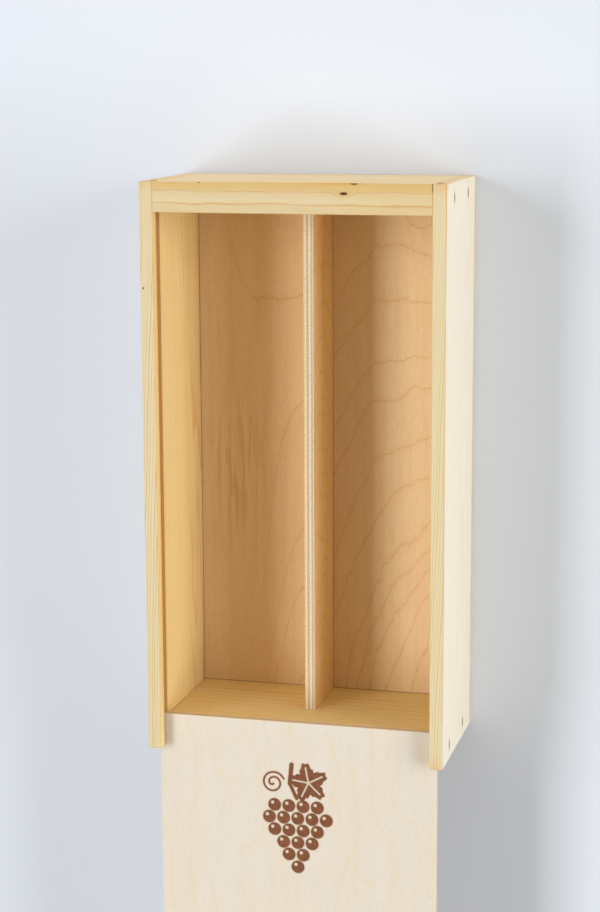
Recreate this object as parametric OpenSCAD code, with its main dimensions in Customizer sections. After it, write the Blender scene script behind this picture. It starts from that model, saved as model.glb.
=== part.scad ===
// Box with a sliding lid and a low divider, for bottles, papers and keepsakes.
// It lies on its back, with the centre of the back panel's underside at the origin.
// +X points to the right side board, +Y to the closed end and +Z out of the open front.
// The lid runs along Y in grooves under the front edges, and is drawn towards -Y to open.

/* [Box] */
// Width over the two side boards
box_w = 184; // [150:1:260]
// Length over the two end boards
box_l = 347; // [260:1:420]
// Height of the side boards and of the closed end board, above the back panel
board_h = 92.7; // [80:0.1:130]
// Thickness of the side boards
side_t = 8.2; // [7:0.1:14]
// Thickness of the end boards
end_t = 18; // [14:0.5:24]
// How much the edges of the solid boards are eased
board_arris = 0.4; // [0.1:0.1:0.8]

/* [Back panel and divider] */
// Thickness of the back panel
back_t = 3.3; // [2.5:0.1:6]
// Thickness of the divider
divider_t = 6.3; // [4:0.1:12]
// Height of the divider above the back panel
divider_h = 49.8; // [30:0.1:60]
// How much the edges of the plywood pieces are eased
ply_arris = 0.2; // [0.1:0.05:0.4]

/* [Lid and its grooves] */
// Thickness of the lid
lid_t = 5; // [4:0.1:7]
// Play of the lid between the two walls of its groove
lid_play = 1.4; // [0.6:0.1:2]
// Gap under the lid at rest, between it and the lower wall of its groove
lid_rest_gap = 0.2; // [0.1:0.05:0.4]
// Gap between each long edge of the lid and the floor of its groove
lid_side_gap = 0.5; // [0.2:0.1:1]
// Gap between the closed lid's end and the floor of the end board's groove
lid_end_gap = 0.5; // [0.2:0.1:1]
// Height of the lip in front of the grooves
lip_h = 7.2; // [5:0.1:10]
// Depth of the grooves in the side boards
side_groove = 3.6; // [2.5:0.1:5]
// Depth of the groove in the closed end board
end_groove = 5.5; // [3:0.1:8]
// Gap between the grooves and the front edge of the entry board, which the lid passes over
entry_gap = 0.9; // [0.4:0.1:2]
// Radius of the half-round thumb notch in the lid's entry edge
notch_r = 14; // [8:0.5:16]
// How much of the drawn lid is still held in the grooves at rest
lid_held = 20; // [8:1:240]

/* [Staples] */
// Width of a staple over its legs
staple_crown = 6; // [5:0.1:10]
// Thickness of the staple wire, seen from the side of the staple
wire_t = 1; // [0.8:0.05:1.3]
// Width of the staple wire, seen from the end of the staple
wire_w = 1.25; // [0.9:0.05:1.6]
// Length of the pointed tip of each leg
staple_tip = 1.5; // [0.8:0.1:2.5]
// How deep the staples are sunk below the surface
staple_sink = 0.5; // [0.2:0.1:1]
// Clearance of the wood all round a staple
staple_gap = 0.05; // [0.02:0.01:0.1]
// Leg length of the corner staples, which hold the side boards to the end boards
corner_leg = 25; // [16:1:32]
// Leg length of the back panel's staples
back_leg = 16; // [10:1:20]
// Lower corner staple, above the underside
corner_low = 26.2; // [24:0.1:32]
// Upper corner staple, below the front edges
corner_high = 24.7; // [18:0.1:30]
// How much higher the corner staples sit at the entry end
entry_lift = 2.3; // [0:0.1:4]
// Staples along each side of the back panel
side_row_count = 4; // [2:1:8]
// First and last staple of the side rows, from the ends of the box
side_row_margin = 32; // [20:1:60]
// Staples along each end of the back panel
end_row_count = 2; // [2:1:5]
// First and last staple of the end rows, from the sides of the box
end_row_margin = 44; // [30:1:60]
// Staples through the back panel into the divider
divider_row_count = 4; // [2:1:6]
// First and last staple of the divider's row, from the ends of the box
divider_row_margin = 56; // [30:1:90]

/* [Hidden] */
$fn = 96;

LEFT = -1;
RIGHT = 1;
ENTRY = -1;
CLOSED = 1;
over = 1;                                    // how far a cut runs past the surface it opens
box_h = back_t + board_h;
inner_w = box_w - 2 * side_t;
inner_l = box_l - 2 * end_t;
groove_w = lid_t + lid_play;
groove_z = box_h - lip_h - groove_w;         // lower wall of the grooves
entry_h = groove_z - entry_gap - back_t;     // the entry board stops below the lid
lid_w = inner_w + 2 * (side_groove - lid_side_gap);
lid_l = box_l - end_t + end_groove - lid_end_gap;
lid_z = groove_z + lid_rest_gap;
lid_open = lid_l - lid_held;                 // how far the lid is drawn, from fully closed
end_row_y = (box_l - end_t) / 2;             // middle of an end board's thickness
side_row_x = (box_w - side_t) / 2;           // middle of a side board's thickness

PINE = "#e9d3a2";
PINE_END = "#e3c78e";
BACK_PLY = "#d8b283";
DIVIDER_PLY = "#d9b98c";
LID_PLY = "#efe4cc";
STEEL = "#8d8a84";

// Positions of count staples spread evenly over a length, with the first and last at the margin
function spread(length, count, margin) =
    [for (i = [0 : count - 1]) -length / 2 + margin + i * (length - 2 * margin) / (count - 1)];

// ---- boards ----

// Rectangle from the origin with its four corners cut off at 45 degrees
module eased_rect(w, h, ease) {
    polygon([[ease, 0], [w - ease, 0], [w, ease], [w, h - ease],
             [w - ease, h], [ease, h], [0, h - ease], [0, ease]]);
}

// Board from the origin with all twelve edges eased, the common part of three eased prisms
module eased_board(size, ease) {
    intersection() {
        linear_extrude(height = size.z)
            eased_rect(size.x, size.y, ease);
        translate([0, size.y, 0])
            rotate([90, 0, 0])
                linear_extrude(height = size.y)
                    eased_rect(size.x, size.z, ease);
        rotate([90, 0, 90])
            linear_extrude(height = size.x)
                eased_rect(size.y, size.z, ease);
    }
}

// Side board: its lid groove runs out through both ends
module side_board(side) {
    color(PINE)
    difference() {
        translate([side * box_w / 2 - (side > 0 ? side_t : 0), -box_l / 2, back_t])
            eased_board([side_t, box_l, board_h], board_arris);
        translate([side * (inner_w / 2 + side_groove / 2 - over / 2), 0, groove_z + groove_w / 2])
            cube([side_groove + over, box_l + 2 * over, groove_w], center = true);
        at_corner_staples(side, CLOSED)
            staple_slot(corner_leg);
        at_corner_staples(side, ENTRY)
            staple_slot(corner_leg);
        at_side_row(side)
            staple_slot(back_leg);
    }
}

module side_left() {
    side_board(LEFT);
}

module side_right() {
    side_board(RIGHT);
}

// End board between the side boards, height h above the back panel, without its cuts
module end_board_blank(end, h) {
    translate([-inner_w / 2, end * box_l / 2 - (end > 0 ? end_t : 0), back_t])
        eased_board([inner_w, end_t, h], board_arris);
}

module end_staple_slots(end) {
    at_corner_staples(LEFT, end)
        staple_slot(corner_leg);
    at_corner_staples(RIGHT, end)
        staple_slot(corner_leg);
    at_end_row(end)
        staple_slot(back_leg);
}

// Closed end: full height, with a groove in its inner face for the end of the lid
module end_closed() {
    color(PINE_END)
    difference() {
        end_board_blank(CLOSED, board_h);
        translate([-inner_w / 2 - over, inner_l / 2 - over, groove_z])
            cube([inner_w + 2 * over, end_groove + over, groove_w]);
        end_staple_slots(CLOSED);
    }
}

// Entry end: lower, so that the lid slides in over it
module end_entry() {
    color(PINE_END)
    difference() {
        end_board_blank(ENTRY, entry_h);
        end_staple_slots(ENTRY);
    }
}

// ---- plywood ----

// Back panel, laid over the whole underside
module back_panel() {
    color(BACK_PLY)
    difference() {
        translate([-box_w / 2, -box_l / 2, 0])
            eased_board([box_w, box_l, back_t], ply_arris);
        for (s = [LEFT, RIGHT])
            at_side_row(s)
                staple_slot(back_leg);
        for (e = [ENTRY, CLOSED])
            at_end_row(e)
                staple_slot(back_leg);
        at_divider_row()
            staple_slot(back_leg);
    }
}

// Divider, on edge along the middle of the box
module divider() {
    color(DIVIDER_PLY)
    difference() {
        translate([-divider_t / 2, -inner_l / 2, back_t])
            eased_board([divider_t, inner_l, divider_h], ply_arris);
        at_divider_row()
            staple_slot(back_leg);
    }
}

// Sliding lid, with a half-round thumb notch in the edge that is pulled
module lid() {
    color(LID_PLY)
    translate([-lid_w / 2, -box_l / 2 - lid_open, lid_z])
    difference() {
        eased_board([lid_w, lid_l, lid_t], ply_arris);
        translate([lid_w / 2, 0, -over])
            cylinder(r = notch_r, h = lid_t + 2 * over);
    }
}

// ---- staples ----

// Upright staple with its crown along X and its top at z = 0, drawn as a U with chisel tips
module staple(leg) {
    outer = staple_crown / 2;
    inner = outer - wire_t;
    rotate([90, 0, 0])
        linear_extrude(height = wire_w, center = true)
            polygon([[-outer, 0], [outer, 0], [outer, -leg + staple_tip], [inner, -leg],
                     [inner, -wire_t], [-inner, -wire_t], [-inner, -leg],
                     [-outer, -leg + staple_tip]]);
}

// The hole that the staple leaves, open above its crown
module staple_slot(leg) {
    outer = staple_crown / 2 + staple_gap;
    inner = staple_crown / 2 - wire_t - staple_gap;
    rotate([90, 0, 0])
        linear_extrude(height = wire_w + 2 * staple_gap, center = true)
            polygon([[-outer, staple_sink + over], [outer, staple_sink + over],
                     [outer, -leg - staple_gap], [inner, -leg - staple_gap],
                     [inner, -wire_t - staple_gap], [-inner, -wire_t - staple_gap],
                     [-inner, -leg - staple_gap], [-outer, -leg - staple_gap]]);
}

// The two corner staples of one side board at one end, driven in from the side
module at_corner_staples(side, end) {
    lift = end == ENTRY ? entry_lift : 0;
    for (z = [corner_low + lift, box_h - corner_high + lift])
        translate([side * (box_w / 2 - staple_sink), end * end_row_y, z])
            rotate([0, side * 90, 0])
                rotate([0, 0, 90])
                    children();
}

// A staple driven up through the back panel, turned so that its crown lies along Y or X
module at_back(x, y, turn) {
    translate([x, y, staple_sink])
        rotate([180, 0, turn])
            children();
}

module at_side_row(side) {
    for (y = spread(box_l, side_row_count, side_row_margin))
        at_back(side * side_row_x, y, 90)
            children();
}

module at_end_row(end) {
    for (x = spread(box_w, end_row_count, end_row_margin))
        at_back(x, end * end_row_y, 0)
            children();
}

module at_divider_row() {
    for (y = spread(box_l, divider_row_count, divider_row_margin))
        at_back(0, y, 90)
            children();
}

module corner_staples(side, end) {
    color(STEEL)
    at_corner_staples(side, end)
        staple(corner_leg);
}

module staples_closed_left() {
    corner_staples(LEFT, CLOSED);
}

module staples_closed_right() {
    corner_staples(RIGHT, CLOSED);
}

module staples_entry_left() {
    corner_staples(LEFT, ENTRY);
}

module staples_entry_right() {
    corner_staples(RIGHT, ENTRY);
}

module staples_back_left() {
    color(STEEL)
    at_side_row(LEFT)
        staple(back_leg);
}

module staples_back_right() {
    color(STEEL)
    at_side_row(RIGHT)
        staple(back_leg);
}

module staples_back_closed() {
    color(STEEL)
    at_end_row(CLOSED)
        staple(back_leg);
}

module staples_back_entry() {
    color(STEEL)
    at_end_row(ENTRY)
        staple(back_leg);
}

module staples_back_divider() {
    color(STEEL)
    at_divider_row()
        staple(back_leg);
}

side_left();
side_right();
end_closed();
end_entry();
back_panel();
divider();
lid();
staples_closed_left();
staples_closed_right();
staples_entry_left();
staples_entry_right();
staples_back_left();
staples_back_right();
staples_back_closed();
staples_back_entry();
staples_back_divider();
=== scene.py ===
"""Looks of a wooden box with a sliding lid: pine boards, plywood panels, wire staples and a burnt motif.

Laid out as a Blender add-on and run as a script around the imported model, which it takes as its fixed
frame. Lengths in the materials and surfaces are millimetres unless a name says otherwise.
"""
import math

import bpy
import numpy as np
from bpy.props import FloatProperty, FloatVectorProperty, PointerProperty
from mathutils import Matrix, Vector


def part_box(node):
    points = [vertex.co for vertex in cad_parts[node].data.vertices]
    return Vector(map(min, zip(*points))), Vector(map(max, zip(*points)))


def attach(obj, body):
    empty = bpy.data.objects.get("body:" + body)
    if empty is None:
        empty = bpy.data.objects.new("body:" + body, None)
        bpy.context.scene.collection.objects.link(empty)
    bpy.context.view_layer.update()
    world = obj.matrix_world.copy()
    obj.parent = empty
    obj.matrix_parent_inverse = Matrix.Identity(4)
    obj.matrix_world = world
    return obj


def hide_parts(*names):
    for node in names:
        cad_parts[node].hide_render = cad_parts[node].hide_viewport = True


bl_info = {
    "name": "Sliding lid box",
    "version": (1, 0, 0),
    "blender": (4, 5, 0),
    "location": "3D View > Sidebar > Box",
    "description": "Pine, plywood and steel for a box with a sliding lid, on a plain floor",
    "category": "Object",
}

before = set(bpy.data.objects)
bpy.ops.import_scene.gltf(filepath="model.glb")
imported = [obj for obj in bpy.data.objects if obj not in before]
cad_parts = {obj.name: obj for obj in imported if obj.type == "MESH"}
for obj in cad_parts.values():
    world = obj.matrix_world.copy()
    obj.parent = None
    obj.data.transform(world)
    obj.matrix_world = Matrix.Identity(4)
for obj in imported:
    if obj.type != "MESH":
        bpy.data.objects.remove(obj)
MM = 1000.0                                  # millimetres in a metre


def box_mm(node):
    """Lowest and highest corner of a CAD node, in millimetres."""
    low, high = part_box(node)
    return np.array(low) * MM, np.array(high) * MM


LID_LOW, LID_HIGH = box_mm("lid")
BACK_LOW, BACK_HIGH = box_mm("back_panel")
DIVIDER_LOW, DIVIDER_HIGH = box_mm("divider")
RIGHT_LOW, RIGHT_HIGH = box_mm("side_right")
INSIDE = RIGHT_LOW[0]                        # inner face of the right side board
OUTSIDE, FAR, RIM = RIGHT_HIGH               # its outer face, its end at the closed end, and its top edge
END_INSIDE = box_mm("end_closed")[0][1]      # inner face of the closed end board
LID_DROP = 0.5                               # how far the lid rests below the middle of its grooves
GROOVE = (LID_LOW[2] + LID_HIGH[2]) / 2 + LID_DROP   # middle height of the grooves
WIRE_HALF = box_mm("staples_back_divider")[1][0]   # half the width of a staple's flat wire


def paint(code):
    """Linear red, green and blue of a colour written as six hexadecimal digits of sRGB."""
    srgb = [int(code[i:i + 2], 16) / 255 for i in (0, 2, 4)]
    return tuple(c / 12.92 if c <= 0.04045 else ((c + 0.055) / 1.055) ** 2.4 for c in srgb)


# ---- settings ----

def colour(name, description, code):
    """A colour property with its default written in hexadecimal."""
    return FloatVectorProperty(name=name, description=description, default=paint(code), size=3,
                               subtype="COLOR", min=0, max=1)


def metres(name, description, default, low, high):
    """A length property in metres, with its default and its limits."""
    return FloatProperty(name=name, description=description, default=default, min=low, max=high,
                         unit="LENGTH", subtype="DISTANCE")


class WoodSettings(bpy.types.PropertyGroup):
    """Colours of the woods."""
    pine_early: colour("Pine, early wood", "Pale wood that fills most of each growth ring", "e8d6aa")
    pine_late: colour("Pine, late wood", "Amber line that ends each growth ring", "d09a48")
    pine_sanded: colour("Pine, sanded", "Pale outer faces of the boards", "dcdbd4")
    pine_gold: colour("Pine, golden streak", "Broad resin-rich streaks along the boards", "e7c980")
    knot: colour("Knot", "Dark pockets and pin knots", "3f2413")
    back_veneer: colour("Back panel", "Face veneer of the back panel", "eacb9b")
    back_line: colour("Back panel, growth line", "Growth lines of the back panel's veneer", "c98f50")
    divider_veneer: colour("Divider", "Face veneer of the divider", "eecc9a")
    lid_veneer: colour("Lid", "Face veneer of the lid", "d8cfc0")
    lid_line: colour("Lid, growth line", "Growth lines of the lid's veneer", "d6bf98")
    ply_long: colour("Ply, along", "Edge of a ply whose grain runs along the edge", "ecdcba")
    ply_cross: colour("Ply, across", "Edge of a ply whose end grain shows", "ccb598")
    burn: colour("Burnt motif", "Bottom of the burnt lines", "673b1e")


class LidSettings(bpy.types.PropertyGroup):
    """Sizes of the lid's thumb notch and motif."""
    notch_radius: metres("Notch radius", "Half-round thumb notch in the entry edge", 0.014, 0.005, 0.02)
    arris: metres("Arris", "Radius of the sanded edges", 0.0004, 0.0001, 0.001)
    motif_place: metres("Motif place", "From the lid's inner end to the motif's middle", 0.060, 0.04, 0.25)
    motif_size: metres("Motif size", "Height of the motif, with a small margin", 0.074, 0.03, 0.09)
    motif_depth: metres("Motif depth", "How deep the motif is burnt in", 0.00035, 0.0001, 0.0008)


class StageSettings(bpy.types.PropertyGroup):
    """Floor, lamps, sky and camera."""
    floor: colour("Floor", "Plain pale floor", "d9dde4")
    key: FloatProperty(name="Key lamp", description="Power of the soft lamp at the left", default=95.5,
                       min=0, subtype="POWER")
    key_tint: colour("Key lamp, tint", "Colour of the lamp at the left", "f4f8ff")
    side: FloatProperty(name="Side lamp", description="Power of the low lamp at the right", default=90,
                        min=0, subtype="POWER")
    side_tint: colour("Side lamp, tint", "Colour of the lamp at the right", "f9fcff")
    overhead: FloatProperty(name="Sky overhead", description="Brightness of the sky straight above",
                            default=0.34, min=0, max=1, subtype="FACTOR")
    horizon: FloatProperty(name="Sky at the horizon", description="Brightness of the sky all round",
                           default=0.50, min=0, max=2, subtype="FACTOR")
    glow: FloatProperty(name="Sky glow", description="Extra light low in the sky beyond the closed end",
                        default=6.0, min=0, soft_max=10)
    lens: FloatProperty(name="Lens", description="Focal length on a 36 mm frame", default=0.083094,
                        unit="CAMERA", min=0.02, max=0.2)


# ---- shader maths ----

class Value:
    """A shader socket with Python's arithmetic: each operation on numbers adds its Math node."""

    def __init__(self, graph, socket):
        self.graph, self.socket = graph, socket

    def __add__(self, other):
        return self.graph.maths("ADD", self, other)

    def __radd__(self, other):
        return self.graph.maths("ADD", other, self)

    def __sub__(self, other):
        return self.graph.maths("SUBTRACT", self, other)

    def __rsub__(self, other):
        return self.graph.maths("SUBTRACT", other, self)

    def __mul__(self, other):
        return self.graph.maths("MULTIPLY", self, other)

    def __rmul__(self, other):
        return self.graph.maths("MULTIPLY", other, self)

    def __truediv__(self, other):
        return self.graph.maths("DIVIDE", self, other)

    def __rtruediv__(self, other):
        return self.graph.maths("DIVIDE", other, self)

    def __pow__(self, other):
        return self.graph.maths("POWER", self, other)

    def __rpow__(self, other):
        return self.graph.maths("POWER", other, self)

    def __mod__(self, other):
        return self.graph.maths("FLOORED_MODULO", self, other)

    def __rmod__(self, other):
        return self.graph.maths("FLOORED_MODULO", other, self)

    def __abs__(self):
        return self.graph.maths("ABSOLUTE", self)

    def least(self, other):
        """The lower of the two."""
        return self.graph.maths("MINIMUM", self, other)

    def most(self, other):
        """The higher of the two."""
        return self.graph.maths("MAXIMUM", self, other)

    def rise(self, low, high, start=0.0, end=1.0, steps="SMOOTHSTEP"):
        """Goes from start to end as the value goes from low to high, and stays there outside."""
        ends = {"Value": self, "From Min": low, "From Max": high, "To Min": start, "To Max": end}
        return self.graph.add("ShaderNodeMapRange", {"interpolation_type": steps, "clamp": True}, ends)


class Graph:
    """The nodes of one material or world, emptied to start with."""

    def __init__(self, owner):
        owner.use_nodes = True
        self.tree = owner.node_tree
        self.tree.nodes.clear()

    def add(self, kind, settings=None, inputs=None, outputs=(0,)):
        """Adds a node of that type: its settings come first, then the values or links of its sockets.

        The setting named stops is a colour ramp's (position, colour) pairs, in bands without blending.
        """
        node = self.tree.nodes.new(kind)
        for name, value in (settings or {}).items():
            if name == "stops":
                self.fill_ramp(node.color_ramp, value)
            else:
                setattr(node, name, value)
        for key, value in (inputs or {}).items():
            if isinstance(value, Value):
                self.tree.links.new(value.socket, node.inputs[key])
            else:
                node.inputs[key].default_value = value
        found = [Value(self, node.outputs[o]) for o in outputs]
        return found[0] if len(found) == 1 else found

    def fill_ramp(self, ramp, stops):
        """Gives a ramp its stops, each colour kept as far as the next stop."""
        ramp.interpolation = "CONSTANT"
        while len(ramp.elements) < len(stops):
            ramp.elements.new(1.0)
        for element, (position, tone) in zip(ramp.elements, stops):
            element.position, element.color = position, (*tone, 1.0)

    def maths(self, operation, *terms):
        """Adds a Math node on one or two numbers."""
        return self.add("ShaderNodeMath", {"operation": operation}, dict(enumerate(terms)))

    def vector(self, operation, a, b=(0, 0, 0), scale=1.0, output=0):
        """Adds a Vector Math node."""
        return self.add("ShaderNodeVectorMath", {"operation": operation}, {0: a, 1: b, 3: scale}, (output,))

    def split(self, vector):
        """The three parts of a vector or of noise's colour."""
        return self.add("ShaderNodeSeparateXYZ", None, {0: vector}, (0, 1, 2))

    def mix(self, share, a, b, blend="MIX"):
        """Blends colour a towards colour b by a share."""
        settings = {"data_type": "RGBA", "blend_type": blend, "clamp_factor": True}
        tones = [c if isinstance(c, Value) else (*c, 1.0) for c in (a, b)]
        return self.add("ShaderNodeMix", settings, {0: share, 6: tones[0], 7: tones[1]}, (2,))


class Skin(Graph):
    """The nodes of one material. Its place is the Object coordinate in millimetres."""

    def __init__(self, name):
        self.material = bpy.data.materials.new(name)
        super().__init__(self.material)
        position, facing = self.add("ShaderNodeTexCoord", outputs=("Object", "Normal"))
        self.place = self.vector("SCALE", position, scale=MM)
        self.x, self.y, self.z = self.split(self.place)
        self.facing = self.split(facing)

    def noise(self, size, detail=2.0, outputs=(0,), shift=(0, 0, 0)):
        """Noise from 0 to 1 and mostly near 0.5, whose features are about size = (x, y, z) millimetres."""
        moved = self.vector("ADD", self.place, shift)
        scaled = self.vector("MULTIPLY", moved, tuple(1 / s for s in size))
        return self.add("ShaderNodeTexNoise", {"noise_dimensions": "3D"},
                        {"Vector": scaled, "Scale": 1.0, "Detail": detail}, outputs)

    def drift(self, value, size):
        """Noise from 0 to 1 along one value."""
        return self.add("ShaderNodeTexNoise", {"noise_dimensions": "1D"},
                        {"W": value / size, "Scale": 1.0, "Detail": 1.0})

    def spot(self, centre, half, reach=1.0):
        """Distance from a spot's centre, as a share of reach times its half sizes along x, y and z."""
        away = self.vector("SUBTRACT", self.place, centre)
        return self.vector("LENGTH", self.vector("DIVIDE", away, tuple(reach * h for h in half)), output=1)

    def finish(self, tone, roughness, height, depth, specular=0.35, metallic=0.0, beyond=None):
        """Joins tone, roughness and a height map, depth metres from valley to top, to the surface.

        beyond is a share and the shader that the surface gives way to by that share.
        """
        normal = self.add("ShaderNodeBump", None, {"Strength": 1.0, "Distance": depth, "Height": height})
        surface = self.add("ShaderNodeBsdfPrincipled", None, {
            "Base Color": tone, "Roughness": roughness, "Normal": normal,
            "Specular IOR Level": specular, "Metallic": metallic})
        if beyond:
            surface = self.add("ShaderNodeMixShader", None, {0: beyond[0], 1: surface, 2: beyond[1]})
        self.add("ShaderNodeOutputMaterial", None, {"Surface": surface}, ())
        return self.material


def stretch(grain, across, along):
    """Feature size of a noise that is drawn out along the grain, which runs along x or y."""
    return (along, across, across) if grain == "x" else (across, along, across)


# ---- pine ----

# tints that a colour is multiplied by where fibres show on a face, and pores on end grain
FIBRE_TINT, PORE_TINT = (0.62, 0.42, 0.20), (0.72, 0.54, 0.34)
TURNED = (0.5, 0.7)                          # a face comes to count as turned an axis's way between these
INNER_BOUNCE_GOLD = 0.52                            # share of gold painted on the inner faces for the warm light bounced inside the box
LINE_FULL, LINE_END, RING_END = 0.94, 0.95, 1.0   # where in a ring the late line is full, and where it goes
LAST_RINGS = (2.4, 2.0)                      # the last rings come up this far before the golden wood
KNOT_REACH = 3.2                             # how far round a knot the rings bend, in sizes of the knot
RECESS_SHADE = (1.6, 3.7, 1.5)                     # half sizes of the dark slot of painted shade in the recess round a staple's crown
RECESS_SHADE_REACH = 2.4                           # how far round a slot its amber fade reaches, in sizes of the slot; round the staples it is painted shade


def ring_number(g, grain, heart, lean, ring, wander, uneven, knots):
    """Number of the growth ring at each point, and slow noise from 0 to 1 for the golden streaks.

    The rings are cylinders round the tree's heart, a line along the grain. heart is where that line
    passes, across the grain and in height, and lean how far it shifts per millimetre along the grain. The
    number is the distance from the line over the width of a ring, after slow wandering, a fine jag and a
    bend round each knot. uneven is how many rings the widths drift by.
    """
    along, across = (g.x, g.y) if grain == "x" else (g.y, g.x)
    sway, lift, cloud = g.split(g.noise(stretch(grain, 30, 260), outputs=("Color",), shift=(*heart, 7)))
    jag = g.noise(stretch(grain, 3.0, 26), detail=3.0)
    u = across - heart[0] - along * lean[0] + (sway - 0.5) * (2 * wander)
    v = g.z - heart[1] - along * lean[1] + (lift - 0.5) * (2 * wander)
    radius = (u * u + v * v) ** 0.5 + (jag - 0.5) * (0.4 * ring)
    for centre, half, bend in knots:
        radius = radius + g.spot(centre, half, KNOT_REACH).rise(0.0, 1.0, bend, 0.0)
    return radius / ring + (g.drift(radius, 6.5 * ring) - 0.5) * uneven, cloud


def board_faces(g, tone, wood, outside, sanded, top):
    """A board's colour once its outer face is sanded paler, its inner face is painted more golden for the
    warm light bounced inside the box, and its top edge, which faces the key lamp and the sky, has a tint
    of painted shade."""
    axis, sign = "xy".index(outside[0]), outside[1]
    tone = g.mix((g.facing[axis] * sign).rise(*TURNED, 0.0, sanded), tone, wood.pine_sanded)
    # painted light: the inner faces are made more golden for the warm light bounced inside the box
    tone = g.mix((g.facing[axis] * -sign).rise(*TURNED, 0.0, INNER_BOUNCE_GOLD), tone, wood.pine_gold)
    # painted shade: the faces that point up, towards the key lamp and the sky, are darkened by the top tint
    return g.mix(g.facing[2].rise(*TURNED), tone, top, "MULTIPLY")


def pine(name, wood, grain, heart, lean, ring, outside, contrast=0.5, gold=0.5, wander=4.0, uneven=2.2,
         gold_from=None, last=0.85, faintest=0.12, sanded=0.64, late=0.60, top=(0.81, 0.81, 0.83),
         knots=(), stains_and_shade=(), slots=()):
    """Sawn pine, with the same growth rings on a board's faces, edges and end grain.

    Each ring deepens slowly from early wood to a thin line of late wood, and then starts again. ring is
    its width, late where in it the line starts, contrast how dark the lines are, and faintest the weakest
    ring's share of that. gold is how strong the golden streaks are. Past ring number gold_from all the
    wood is golden, and the last rings before it show at least at the share last. outside is the axis and
    sign that the outer face points along, sanded how far it is paler, and top the tint of painted shade on
    the faces that point up. knots are (centre, half sizes, how far the rings bend round it),
    stains_and_shade (centre, half sizes, strength) of soft amber, which are real amber stain at corners,
    along the right board's arris, at its foot and round the resin, and painted shade in the grooves and
    along the closed end's front arris, and slots (centre, half sizes) of dark wood fading through amber,
    which are painted shade in the staples' sunk recesses and in a groove's mouth, and a dark joint on the
    closed end.
    """
    g = Skin(name)
    number, cloud = ring_number(g, grain, heart, lean, ring, wander, uneven, knots)
    phase = number % 1.0
    strength = g.drift(number - phase + 0.5, 0.37).rise(0.36, 0.68, faintest, 1.0)
    if gold_from:
        shown_from, full_from = (gold_from - rings for rings in LAST_RINGS)
        strength = strength.most(number.rise(shown_from, full_from, 0.0, last))
    line = phase.rise(late, LINE_FULL) * phase.rise(LINE_END, RING_END, 1.0, 0.0)
    early = phase.rise(0.0, LINE_END, 0.0, 0.2)
    fibre = g.noise(stretch(grain, 0.35, 14), detail=3.0)
    streak = g.noise(stretch(grain, 2.2, 120), detail=2.0, shift=(31, 17, 3))
    tone = g.mix(cloud.rise(0.36, 0.66, 0.0, gold), wood.pine_early, wood.pine_gold)
    tone = g.mix(streak.rise(0.45, 0.7, 0.0, 0.45 * gold), tone, wood.pine_gold)
    if gold_from:
        golden = number.rise(gold_from, gold_from + 0.06)
        tone = g.mix(golden * 0.2, g.mix(golden * 0.8, tone, wood.pine_gold), wood.pine_late)
    tone = g.mix((line * strength + early) * contrast, tone, wood.pine_late)
    tone = board_faces(g, tone, wood, outside, sanded, top)
    # soft amber: real amber stain on some, painted shade in the grooves and along the closed end's front
    # arris on others
    for centre, half, amount in stains_and_shade:
        tone = g.mix(g.spot(centre, half).rise(0.1, 1.0, amount, 0.0), tone, wood.pine_late)
    tone = g.mix(fibre.rise(0.35, 0.7, 0.0, 0.10), tone, FIBRE_TINT, "MULTIPLY")
    end = abs(g.facing["xy".index(grain)]).rise(0.55, 0.75)
    pores = g.noise((0.35, 0.35, 0.35), detail=3.0).rise(0.4, 0.7)
    tone = g.mix(end * (0.10 + pores * 0.26), tone, PORE_TINT, "MULTIPLY")
    # dark slots fading through amber: painted shade in the staples' recesses and in the groove's mouth, and
    # a dark joint on the closed end
    for centre, half in slots:
        tone = g.mix(g.spot(centre, half, RECESS_SHADE_REACH).rise(0.2, 1.0, 0.4, 0.0), tone, wood.pine_late)
    dark = [g.spot(centre, half).rise(0.7, 1.0, 1.0, 0.0) for centre, half, _ in knots]
    dark += [g.spot(centre, half).rise(0.6, 1.0, 0.85, 0.0) for centre, half in slots]
    if dark:
        tone = g.mix(sum(dark).least(1.0) * 0.97, tone, wood.knot)
    rough = 0.62 + fibre * 0.14 - line * 0.06
    height = fibre * 0.5 + line * strength * 0.35
    return g.finish(tone, rough, height, depth=0.00006)


def staple_recess_shade(side, sign):
    """Painted shade in the sunk recesses round the corner staples of the left or right side board, whose x
    has that sign.
    """
    slots = []
    for end in ("closed", "entry"):
        low, high = box_mm(f"staples_{end}_{side}")
        crown = (low[1] + high[1]) / 2
        slots += [((sign * OUTSIDE, crown, z), RECESS_SHADE) for z in (low[2] + WIRE_HALF, high[2] - WIRE_HALF)]
    return slots


def groove_shade(sign):
    """Painted shade: amber that darkens the whole groove of the side board whose x has that sign, for the
    shade inside it.
    """
    return (sign * (INSIDE + 2.2), 0, GROOVE), (4.5, 900, 7.5), 1.3


# ---- plywood ----

# tints that a colour is multiplied by: fleck of a face, glue lines and specks of an edge
FLECK_TINT, GLUE_TINT, SPECK_TINT = (0.60, 0.42, 0.24), (0.55, 0.42, 0.28), (0.45, 0.33, 0.20)
SEAM_SHADE_TONE = (0.16, 0.10, 0.05)               # the dark line where one piece stands on another: a real gap, darkened with painted contact shade
BRUSH_TONE = (0.60, 0.29, 0.09)              # the brush-like streaks of the back panel


def three_plies(wood, outer):
    """Stops of the edge of a plywood with three plies, of which each outer one takes that share."""
    return (0.0, wood.ply_long), (outer, wood.ply_cross), (1 - outer, wood.ply_long)


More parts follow.
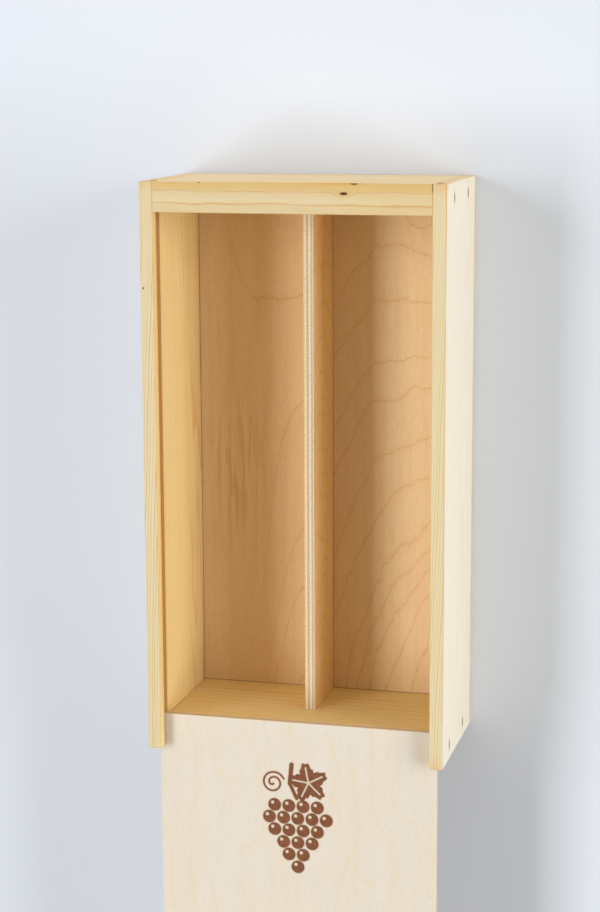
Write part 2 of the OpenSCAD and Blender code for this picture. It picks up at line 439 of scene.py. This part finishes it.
def edge_plies(g, level, plies):
    """Colour of a plywood edge, where level runs from 0 to 1 through the thickness.

    plies gives each ply's colour from where it starts, and thin dark glue lines part them.
    """
    tone = g.add("ShaderNodeValToRGB", {"stops": plies}, {0: level})
    for position, _ in plies[1:]:
        glue = abs(level - position).rise(0.008, 0.02, 0.55, 0.0)
        tone = g.mix(glue, tone, GLUE_TINT, "MULTIPLY")
    speck = g.noise((0.5, 1.0, 0.5), detail=4.0).rise(0.38, 0.62)
    return g.mix(speck * 0.3, tone, SPECK_TINT, "MULTIPLY")


def plywood(name, face, low, high, axis, plies, growth, line_tone, line_width, speck=0.10, patch=0.18,
            ink=0.6, seam_shade=None, extra=None):
    """Plywood from corner low to corner high, whose thickness lies along the axis x, y or z.

    The face is fine fleck of strength speck and slow streaks along Y of strength patch, with growth lines
    on it that fade softly to both sides: growth gives each point's distance to the closest one, and ink
    is their strength. The edges show the plies, picked by how far through the thickness they are.
    seam_shade gives the share of a dark line where another piece stands on the face, a real gap with
    painted contact shade, and extra changes the face's colour.
    """
    g = Skin(name)
    fleck = g.noise((0.32, 3.6, 0.32), detail=3.0)
    streak = g.noise((4.5, 90, 4.5), detail=3.0, shift=(3, 11, 5))
    cloud = g.noise((26, 60, 26), detail=2.0, shift=(61, 5, 9))
    distance = growth(g)
    line = distance.rise(0.0, line_width, 1.0, 0.0)
    halo = distance.rise(0.0, line_width * 5, 0.22, 0.0)
    tone = g.mix(fleck.rise(0.3, 0.7, 0.0, speck), face, FLECK_TINT, "MULTIPLY")
    tone = g.mix(streak.rise(0.42, 0.72, 0.0, patch), tone, line_tone)
    tone = g.mix(cloud.rise(0.4, 0.7, 0.0, patch * 0.6), tone, line_tone)
    tone = g.mix(line * ink + halo * ink, tone, line_tone)
    if extra:
        tone = extra(g, tone)
    through = "xyz".index(axis)
    level = ((g.x, g.y, g.z)[through] - low[through]) / (high[through] - low[through])
    edge = abs(g.facing[through]).rise(0.4, 0.6, 1.0, 0.0)
    tone = g.mix(edge, tone, edge_plies(g, level, plies))
    if seam_shade:
        # painted contact shade along the seams, over the real gap line
        tone = g.mix(seam_shade(g), tone, SEAM_SHADE_TONE)
    return g.finish(tone, 0.6 + fleck * 0.15, fleck * 0.6 + line * 0.3, depth=0.00005)


# Each bay of the back panel has its own level at every point, which the functions below work out, and a
# growth line of its face veneer runs wherever the level is one of these
LEFT_LINES = (98, 29.5, -54, -91, -150)
RIGHT_LINES = (131, 97, 57, 34, 0, -24, -53, -65, -77, -92, -108)
HOLLOW_LINE = 140.5


def nearest_line(level, lines):
    """Distance from a level to the closest one listed."""
    nearest = abs(level - lines[0])
    for height in lines[1:]:
        nearest = nearest.least(abs(level - height))
    return nearest


def right_bay(g, height):
    """Distance to the right bay's closest growth line.

    The level is the height along the panel, squeezed more and more below even_above by a square term,
    less a climb from the divider that eases off past the fold. One more line lies above them as a hollow:
    it is level in its floor, and climbs steeply to the left of that and gently to the right.
    """
    fold, even_above, floor_left, floor_right = 30, 60, 52, 62
    near_climb = g.y.rise(-110, 120, 1.6, 1.4, "LINEAR") * (g.x - fold).least(0)
    far_climb = g.y.rise(-110, 120, 1.1, -0.2, "LINEAR") * (g.x - fold).most(0)
    squeeze = (even_above - g.y).most(0) ** 2 * 0.00155
    hollow = height - (floor_left - g.x).most(0) * 1.6 - (g.x - floor_right).most(0) * 0.7
    nearest = nearest_line(height + squeeze - near_climb - far_climb, RIGHT_LINES)
    return nearest.least(abs(hollow - HOLLOW_LINE))


def left_bay(g, height):
    """Distance to the left bay's closest growth line, made less so that the lines are drawn wider.

    The level is the height less a climb and an arch, whose middle lies arch_left of the panel's middle.
    Near the closed end these give way to an almost flat line, which rises steeply past side_left of it. A
    line fades out by what is added to its distance: all of them close to the side board, and those lower
    than y = 84 further from it.
    """
    arch_left, side_left = 17, 44
    across, side = g.x + arch_left, (g.x + side_left).least(0)
    climb = across * g.y.rise(30, 95, 1.05, 0.12, "LINEAR") + side * side * g.y.rise(80, 95, 0.0, 0.11)
    bow = g.y.rise(-54, 30, -0.13, -0.03, "LINEAR") * g.y.rise(30, 95, 1.0, 0.0, "LINEAR")
    nearest = nearest_line(height - climb - across * across * bow, LEFT_LINES)
    low_fade = g.x.rise(-58, -46, 6.0, 0.0) * g.y.rise(84, 100, 1.0, 0.0)
    return (nearest + low_fade + g.x.rise(-72, -66, 6.0, 0.0)) * 0.7


def back_growth(g):
    """Distance to the back panel's closest growth line, with a bay on each side of x = 0.

    Slow noise shifts the lines up and down, more weakly in the left bay, and fine noise across the grain
    jags them, as cut fibres do.
    """
    slow = g.noise((20, 50, 400), detail=1.0, shift=(0, 40, 0))
    jag = g.noise((3.0, 30, 400), detail=3.0)
    height = g.y + (slow - 0.5) * 16 + (jag - 0.5) * 5
    right = right_bay(g, height)
    left = left_bay(g, height - (slow - 0.5) * 8)
    return g.x.rise(-0.5, 0.5) * (right - left) + left


def back_patch(g, tone):
    """Darker brush-like streaks low in the left bay, where slow noise drawn out along Y is high."""
    brush = g.noise((3.2, 46, 400), detail=4.0, shift=(0, 12, 0))
    area = g.spot((-59, -10, BACK_HIGH[2]), (30, 66, 9)).rise(0.2, 1.0, 1.0, 0.0)
    return g.mix(brush.rise(0.46, 0.60) * area * 0.42, tone, BRUSH_TONE)


def back_seam_shade(g):
    """Share of the thin dark line where boards and divider stand on the back panel's inner face: a real
    gap, darkened with painted contact shade.
    """
    near_side = abs(abs(g.x) - INSIDE)
    near_end = abs(abs(g.y) - END_INSIDE)
    near_divider = abs(abs(g.x) - DIVIDER_HIGH[0])
    nearest = near_side.least(near_end).least(near_divider)
    return nearest.rise(0.1, 0.55, 0.6, 0.0) * g.z.rise(BACK_HIGH[2] - 0.3, BACK_HIGH[2] - 0.1)


def evenly(level, step):
    """Distance from a level to the closest of lines that stand one step apart."""
    return abs((level / step) % 1.0 - 0.5) * step


def divider_growth(g):
    """Distance to the divider's closest growth line: arches stacked along it and pushed by slow noise."""
    slow = g.noise((30, 40, 30), detail=2.0, shift=(9, 2, 4))
    jag = g.noise((1.5, 20, 1.5), detail=3.0)
    arch = g.z - 30
    return evenly(g.y + arch * arch * 0.03 + (slow - 0.5) * 60 + (jag - 0.5) * 3, step=17)


def lid_growth(g):
    """Distance to the lid's closest growth line: the lines run along Y and slow noise sways them."""
    slow = g.noise((30, 75, 30), detail=2.0, shift=(5, 3, 8))
    jag = g.noise((2.0, 30, 2.0), detail=3.0)
    return evenly(g.x * 0.8 + g.z * 0.6 + g.y * 0.04 + (slow - 0.5) * 46 + (jag - 0.5) * 1.6, step=13)


# ---- steel ----

def steel(name):
    """Dull galvanised wire: fine blotches of lighter and darker zinc, and fine drawing marks. Both zinc
    tones are painted shade, far darker than bare zinc, for the sunk recesses that the crowns sit in.
    """
    g = Skin(name)
    blotch = g.noise((0.8, 0.8, 0.8), detail=3.0)
    marks = g.noise((0.12, 2.0, 2.0), detail=2.0)
    # painted shade: both tones far darker than bare zinc, for the sunk recesses
    shaded_dark_zinc, shaded_light_zinc = (0.035, 0.033, 0.034), (0.11, 0.11, 0.12)
    tone = g.mix(blotch.rise(0.35, 0.7), shaded_dark_zinc, shaded_light_zinc)
    return g.finish(tone, 0.38 + blotch * 0.25, marks, depth=0.00002, specular=0.5, metallic=0.4)


def give(nodes, material):
    """Puts one material on the listed CAD nodes."""
    for name in nodes:
        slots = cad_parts[name].data.materials
        slots.clear()
        slots.append(material)


# ---- lid ----

MOTIF_FIELD = 60.0                           # height of the field in which the motif is worked out
MOTIF_RANGE = (-5.0, 50.0)                   # range of its distance, whose end stands for the bare faces
BURN_SLOPE = 0.7                             # width of the slope at the edge of a burnt line
BURN_TINT = (0.50, 0.30, 0.15)               # tint that the scorched rim multiplies the veneer by
SHARP_FROM = math.radians(38)                # edges of the lid that turn by more than this are drawn sharp


def grape_motif(x, y):
    """Signed distance to a bunch of grapes under a vine leaf, in a field 60 mm tall round its middle.

    A grape is a circle less a small circle for its shine, and rows of grapes narrow to the bottom. The
    leaf is a circle whose radius swells into five lobes, less its veins, which are straight strokes from
    its middle. The stalk is two strokes and the tendril a row of dots along a spiral. Joining takes the
    least distance and cutting out the greatest.
    """
    def circle(cx, cy, radius):
        """Signed distance to a circle."""
        return np.hypot(x - cx, y - cy) - radius

    def stroke(ax, ay, bx, by, half):
        """Signed distance to a straight stroke from a to b with round ends."""
        run_x, run_y = bx - ax, by - ay
        share = np.clip(((x - ax) * run_x + (y - ay) * run_y) / (run_x ** 2 + run_y ** 2), 0, 1)
        return np.hypot(x - ax - share * run_x, y - ay - share * run_y) - half

    pitch, row_step, top_row, sway = 7.3, 6.35, 5.5, (-0.4, 0.5)
    shape = np.full(x.shape, 1e3)
    for row, count in enumerate((4, 5, 4, 3, 2, 1)):
        for i in range(count):
            cx, cy = (i - (count - 1) / 2) * pitch + sway[row % 2], top_row - row * row_step
            grape = np.maximum(circle(cx, cy, 3.35), -circle(cx - 1.05, cy + 1.15, 0.85))
            shape = np.minimum(shape, grape)
    leaf_x, leaf_y, lobes, first_lobe, vein_length = 6.0, 18.0, 5, 0.5, 8.0
    angle = np.arctan2(y - leaf_y, x - leaf_x)
    reach = 8.4 + 1.9 * np.cos(lobes * (angle - first_lobe)) + 0.45 * np.cos(4 * lobes * angle)
    leaf = circle(leaf_x, leaf_y, reach) * 0.8
    for way in first_lobe + np.arange(lobes) * 2 * math.pi / lobes:
        tip_x, tip_y = leaf_x + vein_length * math.cos(way), leaf_y + vein_length * math.sin(way)
        leaf = np.maximum(leaf, -stroke(leaf_x, leaf_y, tip_x, tip_y, 0.38))
    stalk = np.minimum(stroke(0, 9.5, -3.5, 17, 0.9), stroke(-3.5, 17, -2.5, 27, 1.1))
    shape = np.minimum(shape, np.minimum(leaf, stalk))
    turn = np.linspace(0, 3.4 * math.pi, 160)
    coil = 5.2 * (1 - turn / turn[-1]) ** 0.7 + 0.6
    for sx, sy in zip(-12 + coil * np.cos(turn + 0.4), 17 + coil * np.sin(turn + 0.4)):
        shape = np.minimum(shape, circle(sx, sy, 0.5))
    return shape


def graded(low, high, coarse, fine_low, fine_high, fine):
    """Positions from low to high: steps of about coarse, but about fine from fine_low to fine_high."""
    parts = [np.linspace(a, b, max(1, round((b - a) / step)), endpoint=False) for a, b, step in
             ((low, fine_low, coarse), (fine_low, fine_high, fine), (fine_high, high, coarse))]
    return np.append(np.concatenate(parts), high)


def lid_surface(notch, arris, place, size, depth):
    """Points, faces and motif distance of the lid.

    A closed loop, the lid's rounded section along its length, is carried across its width. Each loop
    starts at the entry edge, which the thumb notch pushes in by the height of a circle, and near both
    sides it draws in by a quarter circle, so that the side edges are rounded too. The top sinks where the
    motif's distance is below zero. place is how far the motif's middle is from the inner end, and size
    the height of its field.
    """
    fine_step, coarse_x, coarse_y = 0.45, 5.0, 8.0
    curve_points, notch_points, bottom_points = 5, 61, 24
    length, half_w = LID_HIGH[1] - LID_LOW[1], (LID_HIGH[0] - LID_LOW[0]) / 2
    mid_z, half_t = (LID_LOW[2] + LID_HIGH[2]) / 2, (LID_HIGH[2] - LID_LOW[2]) / 2
    quarter = np.linspace(0, math.pi / 2, curve_points)
    rise, fall = arris * (1 - np.cos(quarter)), arris * (1 - np.sin(quarter))

    motif_x = 0.36 * size                    # the fine grid reaches this far to both sides of the motif
    fine = graded(-half_w, half_w, coarse_x, -motif_x, motif_x, fine_step)
    notch_columns = notch * np.cos(np.linspace(0, math.pi, notch_points))
    columns = np.unique(np.round(np.concatenate([fine, notch_columns, -half_w + rise, half_w - rise]), 4))
    gap = np.minimum(half_w - np.abs(columns), arris)
    inset = arris - np.sqrt(np.maximum(arris ** 2 - (arris - gap) ** 2, 0))
    start = LID_LOW[1] + np.sqrt(np.maximum(notch ** 2 - columns ** 2, 0)) + inset
    end = LID_HIGH[1] - inset

    middle, motif_y = 1 - place / length, 0.56 * size / length
    top = graded(0, 1, coarse_y / length, middle - motif_y, middle + motif_y, fine_step / length)[-2:0:-1]
    bottom = np.linspace(0, 1, bottom_points)[1:-1]
    # each stretch of the loop: share of the way from start to end, offset along it, side of the middle
    # height that it is on, and offset in height
    stretches = ((bottom, 0, -1, 0), (1, -fall, -1, rise), (1, -rise, 1, -fall),
                 (top, 0, 1, 0), (0, fall, 1, -rise), (0, rise, -1, fall))
    loop = np.concatenate([np.stack(np.broadcast_arrays(*part)) for part in stretches], axis=1)
    share, slide, side, lift = loop[:, None, :]
    x = np.repeat(columns[:, None], loop.shape[1], axis=1)
    y = start[:, None] + share * (end - start)[:, None] + slide
    z = mid_z + side * (half_t - inset)[:, None] + lift

    scale = size / MOTIF_FIELD
    motif = grape_motif(x / scale, (y - (LID_HIGH[1] - place)) / scale) * scale
    motif = np.where(side > 0, motif, MOTIF_RANGE[1])
    z = z - depth * np.clip(0.5 - motif / BURN_SLOPE, 0, 1)
    points = np.stack([x, y, z], axis=-1).reshape(-1, 3)
    index = np.arange(x.size).reshape(x.shape)
    after = np.roll(index, -1, axis=1)
    quads = np.stack([index[:-1], index[1:], after[1:], after[:-1]], axis=-1).reshape(-1, 4)
    return points, quads.tolist() + [index[0].tolist(), index[-1, ::-1].tolist()], motif.ravel()


def lid_mesh(settings):
    """The lid's object, with the motif's distance kept on its points."""
    sizes = (settings.notch_radius, settings.arris, settings.motif_place, settings.motif_size,
             settings.motif_depth)
    points, faces, motif = lid_surface(*(MM * size for size in sizes))
    mesh = bpy.data.meshes.new("lid_panel")
    mesh.from_pydata((points / MM).tolist(), [], faces)
    distance = mesh.attributes.new("motif", "FLOAT", "POINT")
    distance.data.foreach_set("value", np.clip(motif, *MOTIF_RANGE).astype(np.float32))
    mesh.shade_smooth()
    mesh.set_sharp_from_angle(angle=SHARP_FROM)
    lid = bpy.data.objects.new("lid_panel", mesh)
    bpy.context.scene.collection.objects.link(lid)
    return lid


def burnt(wood):
    """Adds the burnt motif to the lid's face: dark inside, with a thin scorched rim outside its edge."""
    def extra(g, tone):
        """Colour after burning, from the motif's distance on the mesh and some noise in the char."""
        distance = g.add("ShaderNodeAttribute", {"attribute_name": "motif"}, outputs=("Fac",))
        char = g.noise((0.5, 2.2, 0.5), detail=3.0).rise(0.35, 0.7)
        dark = g.mix(char, wood.burn, tuple(1.7 * c for c in wood.burn))
        scorched = g.mix(distance.rise(0.0, 0.9, 0.35, 0.0), tone, BURN_TINT, "MULTIPLY")
        return g.mix(distance.rise(-0.22, 0.12, 1.0, 0.0), scorched, dark)
    return extra


# ---- stage ----

BACKDROP, BACKDROP_LEVEL = (0.97, 0.985, 1.0), 0.88   # the even pale white that the camera sees far away
SKY_TONE = (1.0, 0.945, 0.87)                         # the sky's light, a little warm
LAMP_TARGET, LAMP_DISTANCE = Vector((0, 0, 0.05)), 3.5   # metres
CAMERA_PLACE = (0.30965, 0.24221, 1.27699)            # metres
CAMERA_TURN = (-10.68579, 14.39740, -0.27834)         # degrees about X, Y and Z
SENSOR = 36.0                                         # width of the film, in millimetres


def floor(tone):
    """A round sheet just under the box, which fades into the backdrop far away where the camera sees it.

    Its points lie on rings whose radius grows by the square of their number, joined by one face in the
    middle.
    """
    turns, rings, reach_m, drop_m = 64, 12, 9.0, 0.0003
    fade_from, fade_to = 900, 2600
    radius = reach_m * (np.arange(1, rings + 1) / rings) ** 2
    angle = np.arange(turns) * 2 * math.pi / turns
    flat = np.stack([np.outer(radius, np.cos(angle)), np.outer(radius, np.sin(angle)),
                     np.full((rings, turns), -drop_m)], axis=-1).reshape(-1, 3)
    index = np.arange(rings * turns).reshape(rings, turns)
    beside = np.roll(index, -1, axis=1)
    quads = np.stack([index[:-1], index[1:], beside[1:], beside[:-1]], axis=-1).reshape(-1, 4)
    mesh = bpy.data.meshes.new("floor")
    mesh.from_pydata(flat.tolist(), [], quads.tolist() + [index[0].tolist()])
    g = Skin("floor_paint")
    cloud = g.noise((700, 700, 700), detail=2.0)
    away = g.vector("LENGTH", g.place, output=1).rise(fade_from, fade_to)
    fade = away * g.add("ShaderNodeLightPath", outputs=("Is Camera Ray",))
    backdrop = g.add("ShaderNodeEmission", None, {"Color": (*BACKDROP, 1.0), "Strength": BACKDROP_LEVEL})
    mottled = g.mix(cloud, tone, tuple(0.94 * c for c in tone))
    mesh.materials.append(
        g.finish(mottled, 0.7, cloud, depth=0.0001, specular=0.2, beyond=(fade, backdrop)))
    plane = bpy.data.objects.new("floor", mesh)
    bpy.context.scene.collection.objects.link(plane)


def lamp(name, direction, size, power, tint):
    """A rectangular area lamp that looks back at the box along a direction, its long side along Y."""
    data = bpy.data.lights.new(name, "AREA")
    data.shape, data.size, data.size_y = "RECTANGLE", *size
    data.energy, data.color = power, tint
    back = Vector(direction).normalized()
    across = Vector((0, 1, 0)).cross(back).normalized()
    light = bpy.data.objects.new(name, data)
    light.location = LAMP_TARGET + back * LAMP_DISTANCE
    light.rotation_euler = Matrix((across, back.cross(across), back)).transposed().to_euler()
    bpy.context.scene.collection.objects.link(light)


def sky(overhead, horizon, glow):
    """Soft light from all round, and an even pale white where the camera or gloss sees it.

    The light falls from the horizon to overhead by the square of what is left of the height, with a glow
    low in the sky on the +Y side.
    """
    world = bpy.data.worlds.new("sky")
    bpy.context.scene.world = world
    g = Graph(world)
    _, beyond, height = g.split(g.add("ShaderNodeTexCoord", outputs=("Generated",)))
    left = 1.0 - abs(height)
    light = left ** 2 * (horizon - overhead) + overhead + beyond.most(0) ** 3 * left ** 6 * glow
    camera_ray, glossy_ray = g.add("ShaderNodeLightPath", outputs=("Is Camera Ray", "Is Glossy Ray"))
    seen = camera_ray.most(glossy_ray)
    strength = seen * (BACKDROP_LEVEL - light) + light
    background = g.add("ShaderNodeBackground", None,
                       {"Color": g.mix(seen, SKY_TONE, BACKDROP), "Strength": strength})
    g.add("ShaderNodeOutputWorld", None, {"Surface": background}, ())


def camera(lens):
    """The camera above the open front, a little beyond the closed end and to the right."""
    data = bpy.data.cameras.new("camera")
    data.lens, data.sensor_width = lens, SENSOR
    view = bpy.data.objects.new("camera", data)
    view.location = CAMERA_PLACE
    view.rotation_euler = tuple(math.radians(a) for a in CAMERA_TURN)
    bpy.context.scene.collection.objects.link(view)
    bpy.context.scene.camera = view


# ---- operators ----

class BOX_OT_side_boards(bpy.types.Operator):
    """Gives both side boards their flat-sawn pine"""
    bl_idname = "keepbox.side_boards"
    bl_label = "Side boards"

    def execute(self, context):
        wood = context.scene.keepbox_wood
        pin_knot = ((2 - OUTSIDE, 110.7, RIM), (0.6, 0.8, 0.6), 0.5)
        left_corner = ((-OUTSIDE, FAR + 0.5, RIM), (12, 9, 20), 0.35)
        give(["side_left"], pine(
            "pine_side_left", wood, "y", heart=(-172, 14), lean=(0.010, 0.02), ring=1.15, outside=("x", -1),
            contrast=0.65, gold=0.2, faintest=0.3, top=(0.83, 0.85, 0.90), knots=[pin_knot],
            stains_and_shade=[left_corner, groove_shade(-1)], slots=staple_recess_shade("left", -1)))
        right_corner = ((OUTSIDE - 3, FAR + 0.5, RIM + 1), (9, 10, 14), 0.4)
        arris_end = ((OUTSIDE, FAR - 13.5, RIM), (1.2, 55, 1.2), 0.8)
        whole_arris = ((OUTSIDE, -20, RIM), (1.3, 260, 1.3), 0.6)
        foot = ((OUTSIDE - 4, -FAR - 1.5, RIM - 1), (7, 13, 8), 0.4)
        # painted shade: a dark slot where the groove opens at the closed end, shaded inside
        groove_mouth_shade = ((INSIDE + 2, FAR + 0.1, GROOVE + 0.6), (3.1, 2.0, 4.6))
        give(["side_right"], pine(
            "pine_side_right", wood, "y", heart=(170, 30), lean=(0.012, -0.03), ring=1.0, outside=("x", 1),
            contrast=0.5, gold=0.15, faintest=0.3, top=(0.84, 0.87, 0.92),
            stains_and_shade=[right_corner, arris_end, whole_arris, foot, groove_shade(1)],
            slots=[*staple_recess_shade("right", 1), groove_mouth_shade]))
        return {"FINISHED"}


class BOX_OT_end_boards(bpy.types.Operator):
    """Gives the closed end and the entry end their pine, with the pitch pocket and pin knots"""
    bl_idname = "keepbox.end_boards"
    bl_label = "End boards"

    def execute(self, context):
        wood = context.scene.keepbox_wood
        pitch_pocket = ((31.9, FAR - 5.9, RIM), (2.7, 1.05, 1.8), 2.0)
        arris_knot = ((38.0, FAR + 0.2, RIM - 0.1), (2.8, 1.2, 1.3), 0.8)
        pin_knot = ((-54.6, FAR - 0.1, RIM), (0.6, 0.6, 0.6), 0.3)
        # painted shade: an amber line along the closed end's front arris, where the edge lies in shade
        arris = ((25, FAR + 0.1, RIM + 0.1), (80, 1.1, 1.1), 0.85)
        resin = ((29, FAR - 0.1, RIM), (17, 1.7, 5), 0.7)
        joint = ((INSIDE - 0.1, FAR - 1.5, RIM), (0.35, 4.5, 3.0))
        give(["end_closed"], pine(
            "pine_end_closed", wood, "x", heart=(145, 36.14), lean=(0.0, 0.0), ring=2.3, outside=("y", 1),
            contrast=0.9, wander=0.25, uneven=0.05, gold_from=28.0, last=0.5, late=0.86, sanded=0.15,
            top=(0.81, 0.80, 0.79), knots=[pitch_pocket, arris_knot, pin_knot], stains_and_shade=[arris, resin],
            slots=[joint]))
        give(["end_entry"], pine(
            "pine_end_entry", wood, "x", heart=(-96, 8), lean=(0.01, 0.05), ring=3.4, outside=("y", -1),
            contrast=0.95, gold=0.5, faintest=0.5, late=0.72))
        return {"FINISHED"}


class BOX_OT_back_panel(bpy.types.Operator):
    """Gives the back panel its veneer with climbing growth lines, and plies at its edges"""
    bl_idname = "keepbox.back_panel"
    bl_label = "Back panel"

    def execute(self, context):
        wood = context.scene.keepbox_wood
        give(["back_panel"], plywood(
            "ply_back", wood.back_veneer, BACK_LOW, BACK_HIGH, "z", three_plies(wood, 0.27), back_growth,
            wood.back_line, line_width=0.75, speck=0.2, patch=0.12, ink=0.36,
            seam_shade=back_seam_shade, extra=back_patch))
        return {"FINISHED"}


class BOX_OT_divider(bpy.types.Operator):
    """Gives the divider its six plies, of which the left one is golden, and its warm face veneer"""
    bl_idname = "keepbox.divider"
    bl_label = "Divider"

    def execute(self, context):
        wood = context.scene.keepbox_wood
        long, cross = wood.ply_long, wood.ply_cross
        plies = ((0.0, wood.pine_gold), (0.11, long), (0.28, cross), (0.50, long), (0.72, cross),
                 (0.89, long))
        give(["divider"], plywood(
            "ply_divider", wood.divider_veneer, DIVIDER_LOW, DIVIDER_HIGH, "x", plies, divider_growth,
            wood.back_line, line_width=0.8, ink=0.3))
        return {"FINISHED"}


class BOX_OT_lid(bpy.types.Operator):
    """Makes the lid with its thumb notch and burnt motif, in place of the plain one"""
    bl_idname = "keepbox.lid"
    bl_label = "Lid"

    def execute(self, context):
        wood = context.scene.keepbox_wood
        lid = lid_mesh(context.scene.keepbox_lid)
        lid.data.materials.append(plywood(
            "ply_lid", wood.lid_veneer, LID_LOW, LID_HIGH, "z", three_plies(wood, 0.26), lid_growth,
            wood.lid_line, line_width=0.8, speck=0.14, ink=0.3, extra=burnt(wood)))
        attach(lid, "lid")
        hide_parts("lid")
        return {"FINISHED"}


class BOX_OT_staples(bpy.types.Operator):
    """Gives every wire staple its dull steel"""
    bl_idname = "keepbox.staples"
    bl_label = "Staples"

    def execute(self, context):
        give([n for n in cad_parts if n.startswith("staples")], steel("staple_wire"))
        return {"FINISHED"}


class BOX_OT_stage(bpy.types.Operator):
    """Lays the floor and sets the lamps, the sky and the camera"""
    bl_idname = "keepbox.stage"
    bl_label = "Stage"

    def execute(self, context):
        stage = context.scene.keepbox_stage
        floor(stage.floor)
        lamp("key", (-0.588, 0.0, 0.809), (1.2, 2.8), stage.key, stage.key_tint)
        lamp("side", (0.883, 0.0, 0.469), (1.4, 2.8), stage.side, stage.side_tint)
        sky(stage.overhead, stage.horizon, stage.glow)
        camera(stage.lens * MM)
        context.scene.view_settings.view_transform = "Standard"
        return {"FINISHED"}


OPERATORS = (BOX_OT_side_boards, BOX_OT_end_boards, BOX_OT_back_panel, BOX_OT_divider, BOX_OT_lid,
             BOX_OT_staples, BOX_OT_stage)


class BOX_PT_panel(bpy.types.Panel):
    """Lists the pieces of the box and their settings"""
    bl_idname = "BOX_PT_panel"
    bl_label = "Sliding lid box"
    bl_space_type = "VIEW_3D"
    bl_region_type = "UI"
    bl_category = "Box"

    def draw(self, context):
        layout = self.layout
        for operator in OPERATORS:
            layout.operator(operator.bl_idname)
        for group in (context.scene.keepbox_wood, context.scene.keepbox_lid, context.scene.keepbox_stage):
            for name in group.__annotations__:
                layout.prop(group, name)


CLASSES = (WoodSettings, LidSettings, StageSettings, *OPERATORS, BOX_PT_panel)


def register():
    """Makes the classes and the scene's settings known to Blender."""
    for cls in CLASSES:
        bpy.utils.register_class(cls)
    bpy.types.Scene.keepbox_wood = PointerProperty(type=WoodSettings)
    bpy.types.Scene.keepbox_lid = PointerProperty(type=LidSettings)
    bpy.types.Scene.keepbox_stage = PointerProperty(type=StageSettings)


def unregister():
    """Takes them away again."""
    del bpy.types.Scene.keepbox_wood, bpy.types.Scene.keepbox_lid, bpy.types.Scene.keepbox_stage
    for cls in reversed(CLASSES):
        bpy.utils.unregister_class(cls)


def main():
    """Dresses the whole box."""
    register()
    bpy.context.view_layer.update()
    bpy.ops.keepbox.side_boards()
    bpy.ops.keepbox.end_boards()
    bpy.ops.keepbox.back_panel()
    bpy.ops.keepbox.divider()
    bpy.ops.keepbox.lid()
    bpy.ops.keepbox.staples()
    bpy.ops.keepbox.stage()


if __name__ == "__main__":
    main()
